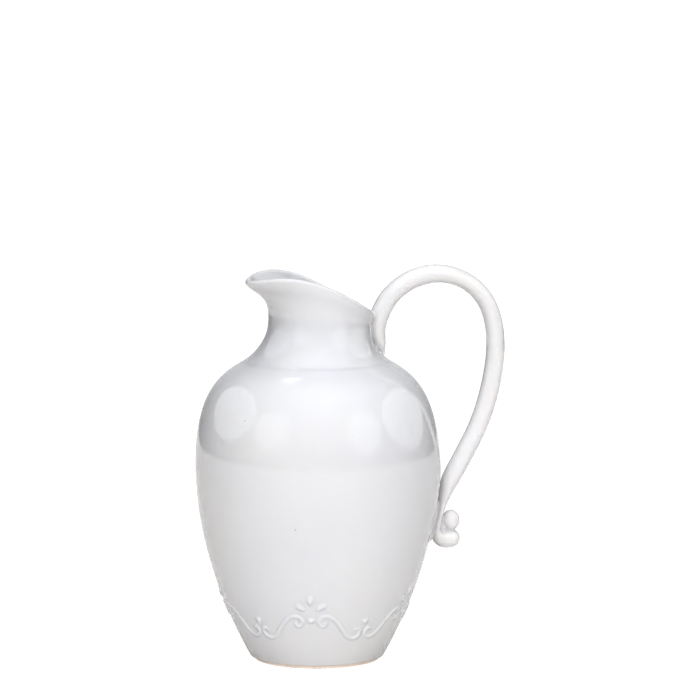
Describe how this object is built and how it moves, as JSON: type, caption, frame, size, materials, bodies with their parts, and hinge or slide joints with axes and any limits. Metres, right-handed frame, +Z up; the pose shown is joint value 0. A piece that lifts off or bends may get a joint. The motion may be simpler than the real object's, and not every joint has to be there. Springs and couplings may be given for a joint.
{
  "type": "ceramic pitcher",
  "caption": "Tall white glazed pitcher with a slanted rim and pulled spout, a high looped handle with a curled tail, and a relief garland low on the belly.",
  "frame": {"origin": "centre of the foot, on the plane that the pitcher stands on", "axes": "+Z up, +X from the vessel's axis towards the handle, so the spout points along -X"},
  "size_m": [0.24, 0.1844, 0.2986],
  "materials": {
    "white_glaze": "clear glossy glaze over a white body",
    "relief_glaze": "the same glossy glaze, pooled a little in the hollows of the relief",
    "bare_foot": "unglazed fired clay, matt, slightly peach"
  },
  "bodies": {
    "root": {"belly": "white_glaze", "foot_ring": "bare_foot", "neck_and_spout": "white_glaze", "handle": "white_glaze", "root_slip": "white_glaze", "tail_pad": "white_glaze", "curl": "white_glaze", "curl_bud": "white_glaze", "palmette_1": "relief_glaze", "palmette_2": "relief_glaze", "palmette_3": "relief_glaze", "palmette_4": "relief_glaze", "palmette_5": "relief_glaze", "pearl_1": "relief_glaze", "pearl_2": "relief_glaze", "pearl_3": "relief_glaze", "pearl_4": "relief_glaze", "pearl_5": "relief_glaze", "scroll_left_1": "relief_glaze", "scroll_left_2": "relief_glaze", "scroll_left_3": "relief_glaze", "scroll_left_4": "relief_glaze", "scroll_left_5": "relief_glaze", "scroll_right_1": "relief_glaze", "scroll_right_2": "relief_glaze", "scroll_right_3": "relief_glaze", "scroll_right_4": "relief_glaze", "scroll_right_5": "relief_glaze", "drop_1": "relief_glaze", "drop_2": "relief_glaze", "drop_3": "relief_glaze", "drop_4": "relief_glaze", "drop_5": "relief_glaze"}
  },
  "joints": []
}
